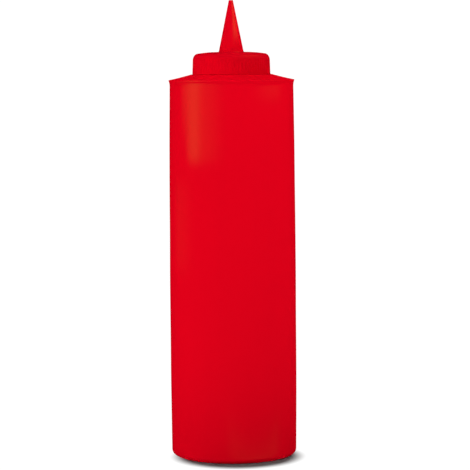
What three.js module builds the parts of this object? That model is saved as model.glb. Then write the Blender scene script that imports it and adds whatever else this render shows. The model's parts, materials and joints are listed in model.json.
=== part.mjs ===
import * as THREE from 'three';

// A tall squeeze bottle for sauces: a straight body with a low conical shoulder,
// and a screw cap moulded in one piece with its cone nozzle. Millimetres, +Z up.
// The origin is the centre of the base, where the bottle stands on the table.

// Body, from the base to the neck
const BASE_RADIUS = 34;
const WALL_TOP_RADIUS = 33.25;
const WALL_BELLY = 0.6;
const BASE_CORNER = 2.5;
const FOOT_INNER_RADIUS = 25.5;
const PUSH_UP = 2.4;
const RIM_RADIUS = 34;
const RIM_HEIGHT = 204;
const RIM_BAND = 1.1;
const RIM_EDGE = 0.5;
const RIM_UNDERCUT = 4.2;
const SEAT_RADIUS = 21.8;
const SEAT_HEIGHT = 207;
const NECK_RADIUS = 18.6;
const NECK_CHAMFER = 0.8;

// Cap and nozzle
const FIT_GAP = 0.3;
const CAP_RADIUS = 21.1;
const CAP_DRAFT = 0.25;
const CAP_BAND = 1.0;
const CAP_EDGE_HEIGHT = 218.2;
const CAP_EDGE_WIDE = 3.0;
const CAP_EDGE_TALL = 3.8;
const CAP_CROWN = 0.8;
const CAP_ROOF = 2.2;
const RIB_COUNT = 72;
const RIB_DEPTH = 0.25;
const NOZZLE_RADIUS = 6.65;
const NOZZLE_FILLET = 0.9;
const NOZZLE_HEIGHT = 27.8;
const TIP_RADIUS = 1.15;
const TIP_ROUND = 0.2;
const ORIFICE_RADIUS = 0.6;
const ORIFICE_DEPTH = 5;

const BODY_SEGMENTS = 72;
const CAP_SEGMENTS = 2 * RIB_COUNT;
const WALL_STATIONS = 8;
const PUSH_UP_STEPS = 4;
const ARC_STEPS = 4;
const FILLET_STEPS = 2;

const RED_BODY = 0xd8021c;
const RED_CAP = 0xd0031c;

const point = (radius, height) => new THREE.Vector2(radius, height);
const smooth = (t) => t * t * (3 - 2 * t);

// Points on part of an ellipse about a centre, from one angle to another, in degrees.
function arc(centreRadius, centreHeight, wide, tall, from, to, steps) {
  const points = [];
  for (let i = 0; i <= steps; i += 1) {
    const angle = THREE.MathUtils.degToRad(from + ((to - from) * i) / steps);
    points.push(point(centreRadius + wide * Math.cos(angle), centreHeight + tall * Math.sin(angle)));
  }
  return points;
}

// Radius of the body wall, which narrows a little towards the rim and swells a little halfway up.
function wallRadius(height) {
  const t = height / RIM_HEIGHT;
  return BASE_RADIUS + (WALL_TOP_RADIUS - BASE_RADIUS) * t + 4 * WALL_BELLY * t * (1 - t);
}

// A lathe turned about +Z from a profile that starts and ends on the axis or closes on itself.
function turned(profile, segments) {
  const geometry = new THREE.LatheGeometry(profile, segments);
  geometry.rotateX(Math.PI / 2);
  return geometry;
}

// Base with its push-up, as the underside is drawn in so that the bottle stands on a ring.
function baseProfile() {
  const points = [];
  for (let i = 0; i <= PUSH_UP_STEPS; i += 1) {
    const share = i / PUSH_UP_STEPS;
    points.push(point(FOOT_INNER_RADIUS * share, PUSH_UP * (1 - smooth(share))));
  }
  points.push(...arc(BASE_RADIUS - BASE_CORNER, BASE_CORNER, BASE_CORNER, BASE_CORNER, -90, 0, ARC_STEPS));
  return points;
}

// Wall from the base corner up to where the rim begins to stand out.
function wallProfile() {
  const points = [];
  const top = RIM_HEIGHT - RIM_UNDERCUT;
  for (let i = 1; i <= WALL_STATIONS; i += 1) {
    const height = BASE_CORNER + ((top - BASE_CORNER) * i) / WALL_STATIONS;
    points.push(point(wallRadius(height), height));
  }
  return points;
}

// Rim that stands out over the wall, then the conical shoulder and the flat seat of the cap.
function rimAndShoulderProfile() {
  const low = RIM_HEIGHT - RIM_UNDERCUT;
  const high = RIM_HEIGHT - RIM_BAND;
  const reach = RIM_RADIUS - wallRadius(low);
  const points = [];
  for (let i = 1; i <= FILLET_STEPS; i += 1) {
    const share = i / FILLET_STEPS;
    points.push(point(wallRadius(low) + reach * share * share, low + (high - low) * share));
  }
  points.push(point(RIM_RADIUS, RIM_HEIGHT - RIM_EDGE));
  points.push(point(RIM_RADIUS - RIM_EDGE, RIM_HEIGHT));
  points.push(point(SEAT_RADIUS, SEAT_HEIGHT));
  return points;
}

const CAP_BOTTOM = SEAT_HEIGHT + FIT_GAP;
const CAP_ROOF_HEIGHT = CAP_EDGE_HEIGHT - CAP_ROOF;
const CAP_BORE_RADIUS = NECK_RADIUS + FIT_GAP;
const NECK_TOP = CAP_ROOF_HEIGHT - FIT_GAP;

// Plain neck inside the cap.
function neckProfile() {
  return [
    point(NECK_RADIUS, SEAT_HEIGHT),
    point(NECK_RADIUS, NECK_TOP - NECK_CHAMFER),
    point(NECK_RADIUS - NECK_CHAMFER, NECK_TOP),
    point(0, NECK_TOP),
  ];
}

function bottleGeometry() {
  const profile = [
    ...baseProfile(),
    ...wallProfile(),
    ...rimAndShoulderProfile(),
    ...neckProfile(),
  ];
  return turned(profile, BODY_SEGMENTS);
}

const CAP_SIDE_TOP = CAP_EDGE_HEIGHT - CAP_EDGE_TALL;
const CAP_TOP_RADIUS = CAP_RADIUS - CAP_DRAFT;
const RIB_BOTTOM = CAP_BOTTOM + CAP_BAND;

// Radius of the cap's side, which has a little draft towards the top.
function capSideRadius(height) {
  return CAP_RADIUS - (CAP_DRAFT * (height - CAP_BOTTOM)) / (CAP_SIDE_TOP - CAP_BOTTOM);
}

const CROWN_RADIUS = CAP_TOP_RADIUS - CAP_EDGE_WIDE;
const NOZZLE_FOOT = NOZZLE_RADIUS + NOZZLE_FILLET;
const NOZZLE_BASE = CAP_EDGE_HEIGHT + CAP_CROWN;
const NOZZLE_TIP = NOZZLE_BASE + NOZZLE_HEIGHT;

// Height of the crowned top, which rises from its edge to the foot of the nozzle.
function crownHeight(radius) {
  const t = (radius - NOZZLE_FOOT) / (CROWN_RADIUS - NOZZLE_FOOT);
  return NOZZLE_BASE - CAP_CROWN * t * t;
}

// Outside of the cap: plain band, ribbed side, rounded edge and crowned top.
function capOutsideProfile() {
  const ribFoot = RIB_BOTTOM + RIB_DEPTH;
  const middle = (CROWN_RADIUS + NOZZLE_FOOT) / 2;
  return [
    point(capSideRadius(CAP_BOTTOM), CAP_BOTTOM),
    point(capSideRadius(RIB_BOTTOM), RIB_BOTTOM),
    point(capSideRadius(ribFoot), ribFoot),
    ...arc(CROWN_RADIUS, CAP_SIDE_TOP, CAP_EDGE_WIDE, CAP_EDGE_TALL, 0, 90, ARC_STEPS),
    point(middle, crownHeight(middle)),
  ];
}

// Cone nozzle with the fillet at its foot, its rounded tip and the small orifice down its middle.
function nozzleProfile() {
  const filletHeight = NOZZLE_BASE + NOZZLE_FILLET;
  const orificeFloor = NOZZLE_TIP - ORIFICE_DEPTH;
  return [
    ...arc(NOZZLE_FOOT, filletHeight, NOZZLE_FILLET, NOZZLE_FILLET, 270, 180, FILLET_STEPS),
    point(TIP_RADIUS, NOZZLE_TIP - TIP_ROUND),
    point(TIP_RADIUS - TIP_ROUND, NOZZLE_TIP),
    point(ORIFICE_RADIUS, NOZZLE_TIP),
    point(ORIFICE_RADIUS, orificeFloor),
    point(0, orificeFloor),
  ];
}

// Draws every second line of the ribbed side inwards, so that a rib stands between two grooves.
function carveRibs(geometry, profile) {
  const position = geometry.attributes.position;
  const isRibbed = ({ x, y }) => x > CAP_BORE_RADIUS && y > RIB_BOTTOM && y <= CAP_SIDE_TOP;
  for (let line = 1; line < CAP_SEGMENTS; line += 2) {
    profile.forEach((corner, i) => {
      if (isRibbed(corner)) {
        const index = line * profile.length + i;
        const share = (corner.x - RIB_DEPTH) / corner.x;
        position.setX(index, position.getX(index) * share);
        position.setY(index, position.getY(index) * share);
      }
    });
  }
}

function capGeometry() {
  const profile = [
    point(0, CAP_ROOF_HEIGHT),
    point(CAP_BORE_RADIUS, CAP_ROOF_HEIGHT),
    point(CAP_BORE_RADIUS, CAP_BOTTOM),
    ...capOutsideProfile(),
    ...nozzleProfile(),
  ];
  const geometry = turned(profile, CAP_SEGMENTS);
  carveRibs(geometry, profile);
  return geometry;
}

function plastic(colour, roughness) {
  return new THREE.MeshStandardMaterial({ color: colour, roughness, metalness: 0 });
}

const squeezeBottle = new THREE.Group();

const bottle = new THREE.Mesh(bottleGeometry(), plastic(RED_BODY, 0.42));
bottle.name = 'bottle';
squeezeBottle.add(bottle);

const cap = new THREE.Mesh(capGeometry(), plastic(RED_CAP, 0.46));
cap.name = 'cap';
squeezeBottle.add(cap);

export default squeezeBottle;
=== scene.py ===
"""A red squeeze bottle for sauces, with its screw cap and cone nozzle, standing on a pale studio floor."""

import json
import math

import bmesh
import bpy
from mathutils import Matrix, Vector

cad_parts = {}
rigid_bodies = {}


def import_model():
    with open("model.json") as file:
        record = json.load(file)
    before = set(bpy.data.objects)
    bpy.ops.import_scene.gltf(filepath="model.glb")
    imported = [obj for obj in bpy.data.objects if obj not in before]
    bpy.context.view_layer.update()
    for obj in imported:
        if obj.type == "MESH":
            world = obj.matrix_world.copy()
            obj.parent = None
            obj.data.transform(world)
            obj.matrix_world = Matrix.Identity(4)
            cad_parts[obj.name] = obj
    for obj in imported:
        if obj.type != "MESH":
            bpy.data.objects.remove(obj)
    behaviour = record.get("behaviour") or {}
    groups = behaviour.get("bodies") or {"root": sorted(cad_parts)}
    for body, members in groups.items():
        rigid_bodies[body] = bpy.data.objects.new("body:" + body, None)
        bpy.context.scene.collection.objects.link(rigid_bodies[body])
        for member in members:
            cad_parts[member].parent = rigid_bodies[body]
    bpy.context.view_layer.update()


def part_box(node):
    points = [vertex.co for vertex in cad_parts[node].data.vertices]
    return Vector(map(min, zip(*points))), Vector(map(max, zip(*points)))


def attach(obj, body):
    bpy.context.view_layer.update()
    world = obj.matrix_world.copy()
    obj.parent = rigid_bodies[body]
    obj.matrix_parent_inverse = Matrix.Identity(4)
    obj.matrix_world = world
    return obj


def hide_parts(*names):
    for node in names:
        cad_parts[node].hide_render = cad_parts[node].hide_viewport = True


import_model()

MM = 0.001

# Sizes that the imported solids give
NECK_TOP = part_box("bottle")[1].z
CAP_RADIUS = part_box("cap")[1].x
TIP_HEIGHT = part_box("cap")[1].z

# Body. The push-up's last ring lies at a share of the way to the axis
BODY_RADIUS = 34 * MM
WALL_TOP_RADIUS = 33.4 * MM
WALL_BELLY = 0.6 * MM
BASE_CORNER = 2.5 * MM
FOOT_INNER_RADIUS = 25.5 * MM
PUSH_UP = 2.4 * MM
PUSH_UP_END = 0.96
RIM_HEIGHT = 204 * MM
RIM_BAND = 0.4 * MM
RIM_EDGE = 0.3 * MM
RIM_UNDERCUT = 3.2 * MM
SHOULDER_DISH = 0.12 * MM
SEAT_RADIUS = 21.8 * MM
SEAT_HEIGHT = 207 * MM
SEAT_EDGE = 0.6 * MM
NECK_RADIUS = 18.6 * MM
NECK_MIDDLE_RADIUS = NECK_RADIUS / 2

# Seams that the mould leaves on the body. The weld's cuts and crest are shares of its half width
MOULD_LINE_HALF = 0.3 * MM
MOULD_LINE_PROUD = 0.06 * MM
MOULD_LINE_TOP = SEAT_HEIGHT - 0.5 * MM
WELD_HALF_LENGTH = 17 * MM
WELD_HALF_WIDTH = 0.7 * MM
WELD_PROUD = 0.35 * MM
WELD_CUTS = (-1, -0.55, 0.55, 1)
WELD_CREST = 0.6
WELD_REGION_RADIUS = FOOT_INNER_RADIUS * 0.92
WELD_REGION_TOP = PUSH_UP + 0.1 * MM

# Faint unevenness of the blown wall
SWELL_SIZE = 0.055
SWELL_DEPTH = 0.3 * MM
SWELL_MARGIN = 8 * MM
SWELL_EASE = 30 * MM

# Cap and nozzle
SEAT_GAP = 0.05 * MM
BORE_GAP = 0.3 * MM
CAP_BOTTOM = SEAT_HEIGHT + SEAT_GAP
CAP_LOWER_EDGE = 0.12 * MM
CAP_DRAFT = 0.25 * MM
CAP_BAND = 1.0 * MM
CAP_EDGE_HEIGHT = 218.2 * MM
CAP_EDGE_WIDE = 3.0 * MM
CAP_EDGE_TALL = 3.8 * MM
CAP_CROWN = 0.8 * MM
CAP_ROOF = 2.2 * MM
BORE_RADIUS = NECK_RADIUS + BORE_GAP
RIB_COUNT = 72
RIB_SIDES = 8
RIB_DEPTH = 0.13 * MM
RIB_RISE = 0.8 * MM
RIB_FALL = 2.2 * MM
NOZZLE_RADIUS = 6.65 * MM
NOZZLE_FILLET = 0.5 * MM
TIP_RADIUS = 1.15 * MM
TIP_ROUND = 0.2 * MM
ORIFICE_RADIUS = 0.6 * MM
ORIFICE_DEPTH = 5 * MM
ORIFICE_LIP_WIDE = 0.08 * MM
ORIFICE_LIP_TALL = 0.1 * MM

CAP_SIDE_TOP = CAP_EDGE_HEIGHT - CAP_EDGE_TALL
RIB_LOW = CAP_BOTTOM + CAP_BAND
RIB_HIGH = CAP_SIDE_TOP + CAP_EDGE_TALL / 2
CROWN_RADIUS = CAP_RADIUS - CAP_DRAFT - CAP_EDGE_WIDE
CROWN_SEAM = CROWN_RADIUS * 0.96
NOZZLE_BASE = CAP_EDGE_HEIGHT + CAP_CROWN
NOZZLE_FOOT = NOZZLE_RADIUS + NOZZLE_FILLET

# How finely the round forms are divided
BODY_SIDES = 288
WALL_RINGS = 40
RIM_RINGS = 8
SHOULDER_RINGS = 10
PUSH_UP_RINGS = 16
BASE_CORNER_STEPS = 8
RIM_EDGE_STEPS = 4
SMALL_EDGE_STEPS = 3
CAP_SIDES = RIB_COUNT * RIB_SIDES
CAP_SIDE_RINGS = 12
CAP_EDGE_STEPS = 12
NOZZLE_SIDES = 144
CROWN_RINGS = 8
FILLET_STEPS = 6
CONE_RINGS = 10
TIP_STEPS = 4
BODY_SMOOTH_ANGLE = 38
CAP_SMOOTH_ANGLE = 40

# How near a vertex lies to a ring or line that it belongs to
RING_SLACK = 0.02 * MM
LINE_SLACK = 0.01 * MM
HEIGHT_SLACK = 0.001 * MM
DOUBLES = 0.002 * MM


# Modelling by hand

def deselect_all():
    """Deselects every object, so that an operator acts only on the new piece."""
    for thing in bpy.context.view_layer.objects:
        thing.select_set(False)


def start_ring(name, radius, height, sides):
    """Adds a circle about the bottle's axis and leaves it selected in edit mode, as the start of a piece."""
    deselect_all()
    bpy.ops.mesh.primitive_circle_add(vertices=sides, radius=radius, location=(0, 0, height))
    bpy.ops.object.transform_apply(location=True, rotation=True, scale=True)
    piece = bpy.context.object
    piece.name = name
    piece.data.name = name
    bpy.ops.object.mode_set(mode="EDIT")
    bpy.ops.mesh.select_mode(type="VERT")
    bpy.ops.mesh.select_all(action="SELECT")
    return piece


def pick(test):
    """Selects the vertices whose place passes the test, with the edges and faces between them."""
    mesh = bmesh.from_edit_mesh(bpy.context.edit_object.data)
    bpy.ops.mesh.select_all(action="DESELECT")
    for vertex in mesh.verts:
        vertex.select = test(vertex.co)
    mesh.select_flush(True)
    bmesh.update_edit_mesh(bpy.context.edit_object.data)


def from_axis(co):
    """Distance of a place from the bottle's axis."""
    return math.hypot(co.x, co.y)


def pick_rings(*rings):
    """Selects rings of vertices, each given by its radius and height."""
    pick(lambda co: any(
        abs(co.z - height) < RING_SLACK and abs(from_axis(co) - radius) < RING_SLACK
        for radius, height in rings))


def ring_now():
    """Radius and height of the ring that is selected."""
    mesh = bmesh.from_edit_mesh(bpy.context.edit_object.data)
    place = next(vertex.co for vertex in mesh.verts if vertex.select)
    return from_axis(place), place.z


def widen_ring(share, height):
    """Scales the selected ring about the axis."""
    bpy.ops.transform.resize(value=(share, share, 1), center_override=(0, 0, height))


def extrude_ring(radius, height):
    """Extrudes the selected ring to another radius and height."""
    old_radius, old_height = ring_now()
    bpy.ops.mesh.extrude_region_move(TRANSFORM_OT_translate={"value": (0, 0, height - old_height)})
    widen_ring(radius / old_radius, height)


def extrude_along(outline):
    """Extrudes the selected ring through the points of an outline, each a radius and a height."""
    for radius, height in outline:
        extrude_ring(radius, height)


def close_ring():
    """Draws the selected ring together into one vertex on the axis."""
    bpy.ops.mesh.merge(type="CENTER")


def round_edge(radius, height, size, steps):
    """Bevels the ring of edges at a radius and height."""
    pick_rings((radius, height))
    bpy.ops.mesh.bevel(offset=size, segments=steps, affect="EDGES", profile=0.5)


def finish_shape(smooth_angle):
    """Merges doubles, turns the faces outwards and shades the piece smooth but for its sharp edges."""
    bpy.ops.mesh.select_all(action="SELECT")
    bpy.ops.mesh.remove_doubles(threshold=DOUBLES)
    bpy.ops.mesh.normals_make_consistent(inside=False)
    bpy.ops.object.mode_set(mode="OBJECT")
    bpy.ops.object.shade_smooth_by_angle(angle=math.radians(smooth_angle))


def ease(value):
    """Keeps a value between 0 and 1 and eases it at both ends."""
    t = min(max(value, 0), 1)
    return t * t * (3 - 2 * t)


def steps_between(first, last, count):
    """Values from just after the first to the last, evenly spaced."""
    return [first + (last - first) * i / count for i in range(1, count + 1)]


def arc(centre_radius, centre_height, wide, tall, start, end, count):
    """Outline points on part of an ellipse between two angles in degrees, without its first point."""
    points = []
    for angle in steps_between(start, end, count):
        turn = math.radians(angle)
        points.append((centre_radius + wide * math.cos(turn), centre_height + tall * math.sin(turn)))
    return points


# Body of the bottle

def wall_radius(height):
    """Radius of the wall, which narrows towards the rim and swells a little halfway up."""
    t = height / RIM_HEIGHT
    return BODY_RADIUS + (WALL_TOP_RADIUS - BODY_RADIUS) * t + 4 * WALL_BELLY * t * (1 - t)


def wall_outline():
    """The wall from the base, then the rim that stands out over it."""
    low = RIM_HEIGHT - RIM_UNDERCUT
    high = RIM_HEIGHT - RIM_BAND
    reach = BODY_RADIUS - wall_radius(low)
    outline = [(wall_radius(height), height) for height in steps_between(0, low, WALL_RINGS)]
    for share in steps_between(0, 1, RIM_RINGS):
        outline.append((wall_radius(low) + reach * share * share, low + (high - low) * share))
    outline.append((BODY_RADIUS, RIM_HEIGHT))
    return outline


def shoulder_outline():
    """The conical shoulder with a slight dish, the flat seat of the cap and the plain neck."""
    outline = []
    for share in steps_between(0, 1, SHOULDER_RINGS):
        radius = BODY_RADIUS + (SEAT_RADIUS - BODY_RADIUS) * share
        dish = SHOULDER_DISH * math.sin(math.pi * share)
        outline.append((radius, RIM_HEIGHT + (SEAT_HEIGHT - RIM_HEIGHT) * share - dish))
    outline += [
        (NECK_RADIUS, SEAT_HEIGHT),
        (NECK_RADIUS, NECK_TOP),
        (NECK_MIDDLE_RADIUS, NECK_TOP),
    ]
    return outline


def base_outline():
    """The flat foot ring and the underside that is pushed up within it."""
    outline = [(FOOT_INNER_RADIUS, 0)]
    for share in steps_between(0, PUSH_UP_END, PUSH_UP_RINGS):
        outline.append((FOOT_INNER_RADIUS * (1 - share), PUSH_UP * ease(share)))
    return outline


def raise_mould_line():
    """Raises the fine line that the two halves of the mould leave up both sides and over the shoulder."""
    for side in (-1, 1):
        bpy.ops.mesh.select_all(action="SELECT")
        bpy.ops.mesh.bisect(plane_co=(0, side * MOULD_LINE_HALF, 0), plane_no=(0, 1, 0))
    pick(lambda co: abs(co.y) < LINE_SLACK and BASE_CORNER < co.z < MOULD_LINE_TOP)
    bpy.ops.transform.shrink_fatten(value=MOULD_LINE_PROUD)


def raise_weld():
    """Raises the straight weld across the underside, where the mould pinched the tube shut."""
    for share in WELD_CUTS:
        pick(lambda co: co.z < WELD_REGION_TOP and from_axis(co) < WELD_REGION_RADIUS)
        bpy.ops.mesh.bisect(plane_co=(0, share * WELD_HALF_WIDTH, 0), plane_no=(0, 1, 0))
    crest = WELD_HALF_WIDTH * WELD_CREST
    pick(lambda co: co.z < WELD_REGION_TOP and abs(co.y) < crest and abs(co.x) < WELD_HALF_LENGTH)
    bpy.ops.transform.translate(value=(0, 0, -WELD_PROUD))


def settle_wall(piece):
    """Gives the soft wall the faint unevenness of a blown shell, but keeps its foot and shoulder true."""
    group = piece.vertex_groups.new(name="soft_wall")
    for vertex in piece.data.vertices:
        above_foot = (vertex.co.z - SWELL_MARGIN) / SWELL_EASE
        below_rim = (RIM_HEIGHT - SWELL_MARGIN - vertex.co.z) / SWELL_EASE
        group.add([vertex.index], ease(above_foot) * ease(below_rim), "REPLACE")
    swells = bpy.data.textures.new("soft_wall_swells", type="CLOUDS")
    swells.noise_scale = SWELL_SIZE
    swells.noise_depth = 1
    bpy.ops.object.modifier_add(type="DISPLACE")
    displace = piece.modifiers[-1]
    displace.texture = swells
    displace.vertex_group = group.name
    displace.texture_coords = "LOCAL"
    displace.mid_level = 0.5
    displace.strength = SWELL_DEPTH
    bpy.ops.object.modifier_apply(modifier=displace.name)


def make_body():
    """The blown body: straight wall, rounded base, low shoulder and the neck inside the cap."""
    piece = start_ring("squeeze_body", BODY_RADIUS, 0, BODY_SIDES)
    extrude_along(wall_outline())
    extrude_along(shoulder_outline())
    close_ring()
    pick_rings((BODY_RADIUS, 0))
    extrude_along(base_outline())
    close_ring()
    round_edge(BODY_RADIUS, 0, BASE_CORNER, BASE_CORNER_STEPS)
    round_edge(BODY_RADIUS, RIM_HEIGHT, RIM_EDGE, RIM_EDGE_STEPS)
    round_edge(NECK_RADIUS, SEAT_HEIGHT, SEAT_EDGE, SMALL_EDGE_STEPS)
    raise_weld()
    raise_mould_line()
    finish_shape(BODY_SMOOTH_ANGLE)
    settle_wall(piece)
    return piece


# Cap and nozzle

def cap_side_radius(height):
    """Radius of the cap's side, which has a little draft towards the top."""
    return CAP_RADIUS - CAP_DRAFT * (height - CAP_BOTTOM) / (CAP_SIDE_TOP - CAP_BOTTOM)


def crown_height(radius):
    """Height of the crowned top, which rises from its edge to the foot of the nozzle."""
    t = (radius - NOZZLE_FOOT) / (CROWN_RADIUS - NOZZLE_FOOT)
    return NOZZLE_BASE - CAP_CROWN * t * t


def cap_side_outline():
    """The plain band, the ribbed side and the rounded edge of the cap, from below."""
    outline = [(cap_side_radius(RIB_LOW), RIB_LOW)]
    for height in steps_between(RIB_LOW, CAP_SIDE_TOP, CAP_SIDE_RINGS):
        outline.append((cap_side_radius(height), height))
    outline += arc(CROWN_RADIUS, CAP_SIDE_TOP, CAP_EDGE_WIDE, CAP_EDGE_TALL, 0, 90, CAP_EDGE_STEPS)
    return outline


def nozzle_outline():
    """The crown, the fillet, the cone, the rounded tip and the orifice, from the outside in."""
    radii = steps_between(CROWN_SEAM, NOZZLE_FOOT, CROWN_RINGS)
    outline = [(radius, crown_height(radius)) for radius in radii]
    cone_foot = NOZZLE_BASE + NOZZLE_FILLET
    cone_top = TIP_HEIGHT - TIP_ROUND
    outline += arc(NOZZLE_FOOT, cone_foot, NOZZLE_FILLET, NOZZLE_FILLET, 270, 180, FILLET_STEPS)
    for share in steps_between(0, 1, CONE_RINGS):
        radius = NOZZLE_RADIUS + (TIP_RADIUS - NOZZLE_RADIUS) * share
        outline.append((radius, cone_foot + (cone_top - cone_foot) * share))
    outline += arc(TIP_RADIUS - TIP_ROUND, cone_top, TIP_ROUND, TIP_ROUND, 0, 90, TIP_STEPS)
    outline += [
        (ORIFICE_RADIUS + ORIFICE_LIP_WIDE, TIP_HEIGHT),
        (ORIFICE_RADIUS, TIP_HEIGHT - ORIFICE_LIP_TALL),
        (ORIFICE_RADIUS, TIP_HEIGHT - ORIFICE_DEPTH),
    ]
    return outline


def bore_outline():
    """The lower face of the cap and the plain bore over the neck."""
    roof = CAP_EDGE_HEIGHT - CAP_ROOF
    return [(BORE_RADIUS, CAP_BOTTOM), (BORE_RADIUS, roof), (NECK_MIDDLE_RADIUS, roof)]


def on_rib_line(co, height, phase):
    """Tells whether a place is on the cap's outside, at a height and at one phase of the ribs' rhythm."""
    at_height = abs(co.z - height) < HEIGHT_SLACK and from_axis(co) > CROWN_RADIUS
    side = round(math.atan2(co.y, co.x) / (2 * math.pi / CAP_SIDES))
    return at_height and side % RIB_SIDES == phase


def press_ribs():
    """Presses grooves into the side between the ribs, deepest halfway up and fading out at both ends."""
    mesh = bmesh.from_edit_mesh(bpy.context.edit_object.data)
    heights = sorted({round(vertex.co.z, 7) for vertex in mesh.verts if RIB_LOW < vertex.co.z < RIB_HIGH})
    for height in heights:
        fade = ease((height - RIB_LOW) / RIB_RISE) * ease((RIB_HIGH - height) / RIB_FALL)
        for phase in range(1, RIB_SIDES):
            depth = RIB_DEPTH * fade * (1 - math.cos(2 * math.pi * phase / RIB_SIDES)) / 2
            pick(lambda co: on_rib_line(co, height, phase))
            radius, _ = ring_now()
            widen_ring((radius - depth) / radius, height)


def make_cap():
    """The screw cap moulded in one piece with its cone nozzle."""
    piece = start_ring("cap_with_nozzle", CAP_RADIUS, CAP_BOTTOM, CAP_SIDES)
    extrude_along(cap_side_outline())
    press_ribs()
    pick_rings((CAP_RADIUS, CAP_BOTTOM))
    extrude_along(bore_outline())
    close_ring()
    seam = (CROWN_SEAM, crown_height(CROWN_SEAM))
    bpy.ops.mesh.select_all(action="DESELECT")
    bpy.ops.mesh.primitive_circle_add(vertices=NOZZLE_SIDES, radius=seam[0], location=(0, 0, seam[1]))
    extrude_along(nozzle_outline())
    close_ring()
    pick_rings((CROWN_RADIUS, CAP_EDGE_HEIGHT), seam)
    bpy.ops.mesh.bridge_edge_loops()
    round_edge(CAP_RADIUS, CAP_BOTTOM, CAP_LOWER_EDGE, SMALL_EDGE_STEPS)
    finish_shape(CAP_SMOOTH_ANGLE)
    return piece


# Materials

class Recipe:
    """A material's node tree, with short words for the nodes that it uses."""

    def __init__(self, name):
        self.material = bpy.data.materials.new(name)
        self.material.use_nodes = True
        self.tree = self.material.node_tree
        self.shader = self.tree.nodes["Principled BSDF"]
        where = self.add("ShaderNodeTexCoord")
        self.place = where.outputs["Object"]
        self.card_place = where.outputs["UV"]

    def add(self, kind, **settings):
        node = self.tree.nodes.new(kind)
        for key, value in settings.items():
            setattr(node, key, value)
        return node

    def join(self, output, entry):
        self.tree.links.new(output, entry)

    def stretched(self, scale):
        """The place on the piece, stretched by a factor along each axis."""
        node = self.add("ShaderNodeMapping")
        node.inputs["Scale"].default_value = scale
        self.join(self.place, node.inputs["Vector"])
        return node.outputs["Vector"]

    def split(self, vector):
        """The parts of a vector, by the names X, Y and Z."""
        node = self.add("ShaderNodeSeparateXYZ")
        self.join(vector, node.inputs["Vector"])
        return node.outputs

    def noise(self, where, scale, detail=2.0, roughness=0.5):
        node = self.add("ShaderNodeTexNoise")
        node.inputs["Scale"].default_value = scale
        node.inputs["Detail"].default_value = detail
        node.inputs["Roughness"].default_value = roughness
        self.join(where, node.inputs["Vector"])
        return node.outputs["Fac"]

    def spread(self, value, low, high, to_low=0, to_high=1, bend="LINEAR"):
        """A value moved from one range to another."""
        node = self.add("ShaderNodeMapRange", interpolation_type=bend)
        node.inputs["From Min"].default_value = low
        node.inputs["From Max"].default_value = high
        node.inputs["To Min"].default_value = to_low
        node.inputs["To Max"].default_value = to_high
        self.join(value, node.inputs["Value"])
        return node.outputs["Result"]

    def spread_noise(self, noise, to_low, to_high):
        """A noise moved from the range that it mostly keeps to."""
        return self.spread(noise, 0.3, 0.7, to_low, to_high)

    def calculate(self, operation, first, second):
        """A sum, product or power of a value and another value or number."""
        node = self.add("ShaderNodeMath", operation=operation)
        self.join(first, node.inputs[0])
        if isinstance(second, (int, float)):
            node.inputs[1].default_value = second
        else:
            self.join(second, node.inputs[1])
        return node.outputs["Value"]

    def blend(self, value, first, second):
        """A colour between two, by a value from 0 to 1."""
        node = self.add("ShaderNodeMix", data_type="RGBA")
        node.inputs["A"].default_value = (*first, 1)
        node.inputs["B"].default_value = (*second, 1)
        self.join(value, node.inputs["Factor"])
        return node.outputs["Result"]

    def bump(self, value, distance, strength, under=None):
        node = self.add("ShaderNodeBump")
        node.inputs["Distance"].default_value = distance
        node.inputs["Strength"].default_value = strength
        self.join(value, node.inputs["Height"])
        if under is not None:
            self.join(under, node.inputs["Normal"])
        return node.outputs["Normal"]

    def glow(self):
        """A white glow of strength 1."""
        return self.add("ShaderNodeEmission")

    def blend_surfaces(self, value, first, second):
        """A surface between two, by a value from 0 to 1."""
        node = self.add("ShaderNodeMixShader")
        self.join(value, node.inputs["Fac"])
        self.join(first, node.inputs[1])
        self.join(second, node.inputs[2])
        return node.outputs["Shader"]

    def clear_air(self):
        return self.add("ShaderNodeBsdfTransparent").outputs["BSDF"]

    def show(self, surface):
        """Makes a surface the material's own, in place of the usual one."""
        self.tree.nodes.remove(self.shader)
        self.join(surface, self.tree.nodes["Material Output"].inputs["Surface"])

    def show_glow_through(self, glow):
        """Shows a glow over clear air, so that cards behind one another add up."""
        both = self.add("ShaderNodeAddShader")
        self.join(self.clear_air(), both.inputs[0])
        self.join(glow.outputs["Emission"], both.inputs[1])
        self.show(both.outputs["Shader"])


# Reds of the plastic, light and deep, and the roughness between which it varies
BODY_REDS = ((0.80, 0.0006, 0.0105), (0.775, 0.0004, 0.0105))
BODY_ROUGHNESS = (0.11, 0.15)
BODY_GRAIN = 0.25
CAP_REDS = ((0.765, 0.0006, 0.0108), (0.73, 0.0004, 0.0105))
CAP_ROUGHNESS = (0.15, 0.2)
CAP_GRAIN = 0.35
MATT_EXTRA = 0.28
MATT_EASE = 1.5 * MM

# Scales of the plastic's patterns, the depth of its grain, and the shares of clouds and streaks in its tone
CLOUD_SCALE = 22
STREAK_SCALE = 240
STREAK_STRETCH = (1, 1, 0.04)
HANDLED_SCALE = 55
PEBBLE_SCALE = 480
FINE_SCALE = 1500
PEBBLE_DEPTH = 0.02 * MM
FINE_DEPTH = 0.01 * MM
CLOUD_SHARE = 0.7
STREAK_SHARE = 0.3


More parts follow.
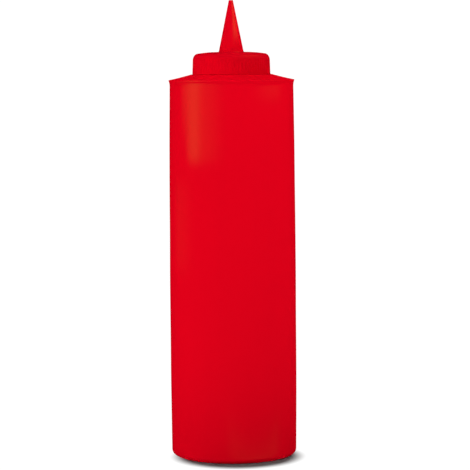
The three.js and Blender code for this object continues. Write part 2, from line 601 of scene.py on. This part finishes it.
def satin_plastic(name, reds, rough, grain, matt_below=None):
    """Opaque red soft plastic with cloudy pigment, drawn streaks, a fine grain and maybe a matt part."""
    recipe = Recipe(name)
    clouds = recipe.noise(recipe.place, CLOUD_SCALE, detail=3)
    streaks = recipe.noise(recipe.stretched(STREAK_STRETCH), STREAK_SCALE)
    cloud_tone = recipe.spread_noise(clouds, 0, CLOUD_SHARE)
    streak_tone = recipe.spread_noise(streaks, 0, STREAK_SHARE)
    tone = recipe.calculate("ADD", cloud_tone, streak_tone)
    recipe.join(recipe.blend(tone, *reds), recipe.shader.inputs["Base Color"])
    handled = recipe.noise(recipe.place, HANDLED_SCALE, detail=4, roughness=0.6)
    roughness = recipe.spread_noise(handled, *rough)
    if matt_below is not None:
        height = recipe.split(recipe.place)["Z"]
        matt = recipe.spread(height, matt_below, matt_below + MATT_EASE, MATT_EXTRA, 0)
        roughness = recipe.calculate("ADD", roughness, matt)
    recipe.join(roughness, recipe.shader.inputs["Roughness"])
    pebble = recipe.noise(recipe.place, PEBBLE_SCALE, detail=3)
    relief = recipe.bump(recipe.calculate("ADD", pebble, streaks), PEBBLE_DEPTH, grain)
    fine = recipe.noise(recipe.place, FINE_SCALE)
    recipe.join(recipe.bump(fine, FINE_DEPTH, grain, relief), recipe.shader.inputs["Normal"])
    recipe.shader.inputs["IOR"].default_value = 1.5
    recipe.shader.inputs["Specular IOR Level"].default_value = 0.5
    return recipe.material


def give(piece, material, node):
    """Dresses a piece in its material, makes it ride the bottle and stand for its solid."""
    piece.data.materials.append(material)
    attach(piece, "root")
    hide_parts(node)


# Studio floor

STUDIO_WHITE = 1.05
# The painted contact shadow round the base: its grey, its centre, shifted towards the front and right, and
# the distances at which it starts to fade and has faded into the white floor
PAINTED_SHADOW_GREY = (0.12, 0.12, 0.12, 1)
PAINTED_SHADOW_CENTRE = (2.0 * MM, -11 * MM, 0)
PAINTED_SHADOW_DARK = 28 * MM
PAINTED_SHADOW_REACH = 38.5 * MM
SWEEP_SIDES = 96
SWEEP_RINGS = (0.05, 0.4, 0.9, 1.6)
SWEEP_CURVE = 0.9
SWEEP_CURVE_STEPS = 16
SWEEP_TOP = 3.0


def sweep_material():
    """Pale floor, seen from above only: plain white, but near the base a painted contact shadow, a dark grey
    matt patch that the lamps also light, shifted towards the front and right and fading into the white.
    """
    recipe = Recipe("pale_sweep")
    # Painted contact shadow: a dark grey matt patch that fades out into the floor's white glow
    matt = recipe.add("ShaderNodeBsdfDiffuse")
    matt.inputs["Color"].default_value = PAINTED_SHADOW_GREY
    white = recipe.glow()
    white.inputs["Strength"].default_value = STUDIO_WHITE
    offset = recipe.add("ShaderNodeVectorMath", operation="SUBTRACT")
    offset.inputs[1].default_value = PAINTED_SHADOW_CENTRE
    recipe.join(recipe.place, offset.inputs[0])
    away = recipe.add("ShaderNodeVectorMath", operation="LENGTH")
    recipe.join(offset.outputs["Vector"], away.inputs[0])
    fade = recipe.spread(away.outputs["Value"], PAINTED_SHADOW_DARK, PAINTED_SHADOW_REACH, bend="SMOOTHSTEP")
    floor = recipe.blend_surfaces(fade, matt.outputs["BSDF"], white.outputs["Emission"])
    from_below = recipe.add("ShaderNodeNewGeometry").outputs["Backfacing"]
    recipe.show(recipe.blend_surfaces(from_below, floor, recipe.clear_air()))
    return recipe.material


def make_sweep():
    """The pale floor, curved up all round into a wall, so that the studio has no corner from any side."""
    middle, *rings = SWEEP_RINGS
    piece = start_ring("studio_sweep", middle, 0, SWEEP_SIDES)
    extrude_along([(radius, 0) for radius in rings])
    extrude_along(arc(rings[-1], SWEEP_CURVE, SWEEP_CURVE, SWEEP_CURVE, 270, 360, SWEEP_CURVE_STEPS))
    extrude_along([(rings[-1] + SWEEP_CURVE, SWEEP_TOP)])
    pick_rings((middle, 0))
    close_ring()
    bpy.ops.mesh.select_all(action="SELECT")
    bpy.ops.mesh.normals_make_consistent(inside=True)
    bpy.ops.object.mode_set(mode="OBJECT")
    bpy.ops.object.shade_smooth()
    piece.data.materials.append(sweep_material())
    piece.visible_diffuse = False
    piece.visible_glossy = False
    piece.visible_shadow = False
    return piece


# Lights. Every azimuth is in degrees from the camera's side, with the viewer's right positive

def place_round(azimuth, distance, height):
    """A place round the bottle's axis."""
    turn = math.radians(azimuth)
    return math.sin(turn) * distance, -math.cos(turn) * distance, height


def facing_axis(azimuth, lean=0):
    """The turn of an upright card or lamp that faces the bottle's axis."""
    return math.radians(90), math.radians(lean), math.radians(azimuth)


def shine_on(light, *pieces):
    """Keeps the light of a lamp or card to some of the pieces."""
    lit = bpy.data.collections.new(light.name + "_lit")
    for piece in pieces:
        lit.objects.link(piece)
    light.light_linking.receiver_collection = lit


def add_lamp(kind, name, place, turn, **settings):
    """A lamp without a reflection of its own, so that only the cards show in the gloss."""
    bpy.ops.object.light_add(type=kind, location=place, rotation=turn)
    lamp = bpy.context.object
    lamp.name = name
    for key, value in settings.items():
        setattr(lamp.data, key, value)
    lamp.data.cycles.use_multiple_importance_sampling = False
    lamp.visible_camera = False
    lamp.visible_glossy = False
    return lamp


def add_air_light(name, azimuth, elevation, spread, strength):
    """Light from a wide part of the studio's white surroundings."""
    rise = math.radians(elevation)
    away = Vector(place_round(azimuth, math.cos(rise), math.sin(rise)))
    turn = (-away).to_track_quat("-Z", "Y").to_euler()
    return add_lamp("SUN", name, away, turn, angle=math.radians(spread), energy=strength)


def add_panel(name, place, turn, wide, tall, strength):
    """A rectangular lamp of a given brightness."""
    energy = strength * math.pi * wide * tall
    return add_lamp("AREA", name, place, turn, shape="RECTANGLE", size=wide, size_y=tall, energy=energy)


# Azimuth and strength of the light from each part of the surroundings, for the body and for the cap
BODY_AIR_LIGHTS = [
    (-165, 0.49), (-120, 0.79), (-75, 0.92), (-30, 0.95), (15, 0.50), (60, 0.37), (105, 0.76), (150, 0.79)]
CAP_AIR_LIGHTS = [
    (-165, 0.67), (-120, 0.25), (-75, 1.03), (-30, 0.97), (15, 0.80), (60, 0.13), (105, 0.80), (150, 0.55)]
AIR_ELEVATION = 15
AIR_SPREAD = 60
BODY_HIGH_LIGHTS = [(-135, 0.37), (135, 0.34)]
CAP_HIGH_LIGHTS = [(-60, 0.31), (30, 0.10), (120, 0.45), (165, 0.27)]
HIGH_ELEVATION = 50
HIGH_SPREAD = 50
BODY_TOP_LIGHT = 0.52
CAP_TOP_LIGHT = 0.36
TOP_SPREAD = 60

# Azimuth and strength of the body's soft boxes in front, which hang above its middle
SOFT_BOXES = [(15, 1.6), (60, 1.3)]
BOX_DISTANCE = 0.3
BOX_HEIGHT = 0.34
BOX_WIDE = 0.22
BOX_TALL = 0.2

# Narrow lamp, level with the nozzle, for the nozzle's right side
LAMP_AZIMUTH = 60
LAMP_STRENGTH = 1.15
LAMP_DISTANCE = 0.3
LAMP_HEIGHT = 0.2345
LAMP_REACH = 0.016
LAMP_BLEND = 0.25
LAMP_SIZE = 0.01

# Zones of the floor, which lie just under the base and throw light back up: name, centre, size and strength
FLOOR_DROP = 2 * MM
FLOOR_LIGHTS = [
    ("under", (0, 0), (0.06, 0.06), 0.35),
    ("left_middle", (-0.2, 0), (0.2, 0.4), 0.74),
    ("right_middle", (0.2, 0), (0.2, 0.4), 0.96),
    ("front_middle", (0, -0.2), (0.2, 0.2), 0.78),
    ("back_middle", (0, 0.2), (0.2, 0.2), 0.61),
    ("left_far", (-0.8, 0), (1.0, 2.0), 0.60),
    ("right_far", (0.8, 0), (1.0, 2.0), 0.55),
    ("front_far", (0, -0.65), (0.6, 0.7), 0.31),
    ("back_far", (0, 0.65), (0.6, 0.7), 0.99),
]


def light_all_round(name, around, high, top, *pieces):
    """Light from all parts of the white surroundings, kept to some of the pieces."""
    lamps = [add_air_light(f"{name}_top_light", 0, 90, TOP_SPREAD, top)]
    for azimuth, strength in around:
        lamps.append(add_air_light(
            f"{name}_air_light_{azimuth % 360}", azimuth, AIR_ELEVATION, AIR_SPREAD, strength))
    for azimuth, strength in high:
        lamps.append(add_air_light(
            f"{name}_high_light_{azimuth % 360}", azimuth, HIGH_ELEVATION, HIGH_SPREAD, strength))
    for lamp in lamps:
        shine_on(lamp, *pieces)


def light_body_front(body, sweep):
    """Soft boxes in front, above the bottle's middle, so that the wall darkens towards its foot."""
    for azimuth, strength in SOFT_BOXES:
        place = place_round(azimuth, BOX_DISTANCE, BOX_HEIGHT)
        box = add_panel(f"soft_box_{azimuth}", place, facing_axis(azimuth), BOX_WIDE, BOX_TALL, strength)
        shine_on(box, body, sweep)


def light_nozzle(cap):
    """A narrow lamp beside the bottle that reaches no lower than the cap's top."""
    place = place_round(LAMP_AZIMUTH, LAMP_DISTANCE, LAMP_HEIGHT)
    lamp = add_lamp(
        "SPOT", "nozzle_lamp", place, facing_axis(LAMP_AZIMUTH),
        energy=LAMP_STRENGTH * 4 * math.pi * LAMP_DISTANCE ** 2,
        spot_size=2 * math.atan(LAMP_REACH / LAMP_DISTANCE),
        spot_blend=LAMP_BLEND,
        shadow_soft_size=LAMP_SIZE)
    shine_on(lamp, cap)


def light_from_floor():
    """Light that the zones of the pale floor throw back up."""
    for name, (x, y), (wide, deep), strength in FLOOR_LIGHTS:
        add_panel("floor_light_" + name, (x, y, -FLOOR_DROP), (math.pi, 0, 0), wide, deep, strength)


def fill_air():
    """The white that the camera sees behind the bottle. It lights nothing."""
    world = bpy.data.worlds.new("studio_air")
    bpy.context.scene.world = world
    world.use_nodes = True
    air = world.node_tree.nodes["Background"]
    air.inputs["Color"].default_value = (1, 1, 1, 1)
    air.inputs["Strength"].default_value = STUDIO_WHITE
    world.cycles_visibility.diffuse = False
    world.cycles_visibility.glossy = False
    world.cycles_visibility.transmission = False
    world.cycles_visibility.scatter = False


# Light cards and glows, which only show as highlights in the gloss

WARM = (0.36, 1.0, 0.2)
GLOW_RED = (1.0, 0.001, 0.0137)

# A card stands upright between its low and high edge. Its glow fades over a share of its width on each
# side and of its height at both ends, and gathers towards its middle where gather is above 1.
BODY_CARDS = [
    dict(name="left_strip", azimuth=-66, distance=0.13, low=0.1535, high=0.30, width=0.112,
         strength=0.34, soft_left=0.48, soft_right=0.45, soft_ends=0.055, gather=1.5),
    dict(name="left_strip_side", azimuth=-83, distance=0.13, low=0.160, high=0.30, width=0.08,
         strength=0.18, soft_left=0.5, soft_right=0.5, soft_ends=0.29),
    dict(name="left_strip_tail", azimuth=-46, distance=0.13, low=0.1535, high=0.30, width=0.26,
         strength=0.21, soft_left=0.36, soft_right=0.6, soft_ends=0.055, gather=1.5),
    dict(name="left_low_card", azimuth=-98, distance=0.25, low=0.074, high=0.144, width=0.31,
         strength=0.044, soft_left=0.42, soft_right=0.42, soft_ends=0.2),
    dict(name="right_high_card", azimuth=66, distance=0.13, low=0.189, high=0.30, width=0.19,
         strength=0.12, soft_left=0.5, soft_right=0.4, soft_ends=0.1),
    dict(name="low_front_card", azimuth=38, distance=0.25, low=-0.090, high=-0.026, width=0.75,
         strength=0.09, soft_left=0.3, soft_right=0.3, soft_ends=0.4),
    dict(name="back_high_card", azimuth=180, distance=1.2, low=0.22, high=1.2, width=0.9, colour=GLOW_RED,
         strength=0.29, soft_left=0.3, soft_right=0.3, soft_ends=0.08),
]
NOZZLE_CARD = dict(
    name="nozzle_card", azimuth=58, distance=0.045, low=0.2412, high=0.272, width=0.09,
    strength=0.54, soft_left=0.42, soft_right=0.42, soft_ends=0.1, lean=6)

# Radius and strength of the red glow round each piece
BODY_GLOW = (2.4, 0.39)
CAP_GLOW = (2.3, 0.2)


def show_in_gloss_only(thing):
    """Hides a card or glow from the camera and keeps it from lighting or shading anything."""
    thing.visible_camera = False
    thing.visible_diffuse = False
    thing.visible_shadow = False


def card_material(name, colour, strength, soft_left, soft_right, soft_ends, gather):
    """A light card's glow, which fades towards its edges and may gather towards its middle."""
    recipe = Recipe(name)
    parts = recipe.split(recipe.card_place)

    def fade(part, edge, full):
        return recipe.spread(parts[part], edge, full, bend="SMOOTHSTEP")

    sideways = recipe.calculate("MULTIPLY", fade("X", 0, soft_left), fade("X", 1, 1 - soft_right))
    upright = recipe.calculate("MULTIPLY", fade("Y", 0, soft_ends), fade("Y", 1, 1 - soft_ends))
    share = recipe.calculate("MULTIPLY", recipe.calculate("POWER", sideways, gather), upright)
    glow = recipe.glow()
    glow.inputs["Color"].default_value = (*colour, 1)
    recipe.join(recipe.calculate("MULTIPLY", share, strength), glow.inputs["Strength"])
    recipe.show_glow_through(glow)
    return recipe.material


def make_card(name, azimuth, distance, low, high, width, strength,
              soft_left, soft_right, soft_ends, gather=1, lean=0, colour=WARM):
    """A soft light card that faces the bottle's axis."""
    place = place_round(azimuth, distance, (low + high) / 2)
    bpy.ops.mesh.primitive_plane_add(size=1, location=place, rotation=facing_axis(azimuth, lean))
    card = bpy.context.object
    card.name = name
    card.scale = (width, high - low, 1)
    card.data.materials.append(
        card_material(name + "_glow", colour, strength, soft_left, soft_right, soft_ends, gather))
    show_in_gloss_only(card)
    return card


def make_red_glow(name, radius, strength):
    """A wide red glow all round, so that the plastic keeps its colour at its edges."""
    bpy.ops.mesh.primitive_ico_sphere_add(subdivisions=3, radius=radius)
    ball = bpy.context.object
    ball.name = name
    recipe = Recipe(name + "_light")
    glow = recipe.glow()
    glow.inputs["Color"].default_value = (*GLOW_RED, 1)
    glow.inputs["Strength"].default_value = strength
    recipe.show_glow_through(glow)
    ball.data.materials.append(recipe.material)
    show_in_gloss_only(ball)
    return ball


def light_studio(body, cap, sweep):
    """White surroundings and floor that light the bottle evenly, and soft cards for the highlights."""
    fill_air()
    light_all_round("body", BODY_AIR_LIGHTS, BODY_HIGH_LIGHTS, BODY_TOP_LIGHT, body, sweep)
    light_all_round("cap", CAP_AIR_LIGHTS, CAP_HIGH_LIGHTS, CAP_TOP_LIGHT, cap)
    light_body_front(body, sweep)
    light_nozzle(cap)
    light_from_floor()
    for card in BODY_CARDS:
        shine_on(make_card(**card), body)
    shine_on(make_card(**NOZZLE_CARD), cap)
    shine_on(make_red_glow("body_red_glow", *BODY_GLOW), body)
    shine_on(make_red_glow("cap_red_glow", *CAP_GLOW), cap)


# Camera, at the height of the cap and looking slightly down, as the photograph was taken

CAMERA_DISTANCE = 1.1
CAMERA_HEIGHT = 215 * MM
CAMERA_PITCH = 4.949
CAMERA_YAW = 0.067
CAMERA_ROLL = 0.441
PHOTO_SIDE = 470
FOCAL_PIXELS = 2029
SENSOR = 36.0


def make_camera():
    """The camera's place, tilt and focal length, as fitted to the photograph."""
    data = bpy.data.cameras.new("photo_camera")
    data.sensor_width = SENSOR
    data.lens = FOCAL_PIXELS / PHOTO_SIDE * SENSOR
    camera = bpy.data.objects.new("photo_camera", data)
    bpy.context.scene.collection.objects.link(camera)
    place = Matrix.Translation((0, -CAMERA_DISTANCE, CAMERA_HEIGHT))
    turn = Matrix.Rotation(-math.radians(CAMERA_YAW), 4, "Z")
    tilt = Matrix.Rotation(math.radians(90 - CAMERA_PITCH), 4, "X")
    roll = Matrix.Rotation(-math.radians(CAMERA_ROLL), 4, "Z")
    camera.matrix_world = place @ turn @ tilt @ roll
    bpy.context.scene.camera = camera


def show_plain_colours():
    """Shows the colours as they are, without a film look."""
    settings = bpy.context.scene.view_settings
    settings.view_transform = "Standard"
    settings.look = "None"
    settings.exposure = 0
    settings.gamma = 1


squeeze_body = make_body()
body_plastic = satin_plastic("body_red_plastic", BODY_REDS, BODY_ROUGHNESS, BODY_GRAIN)
give(squeeze_body, body_plastic, "bottle")

screw_cap = make_cap()
cap_plastic = satin_plastic("cap_red_plastic", CAP_REDS, CAP_ROUGHNESS, CAP_GRAIN, CAP_EDGE_HEIGHT)
give(screw_cap, cap_plastic, "cap")

light_studio(squeeze_body, screw_cap, make_sweep())
make_camera()
show_plain_colours()
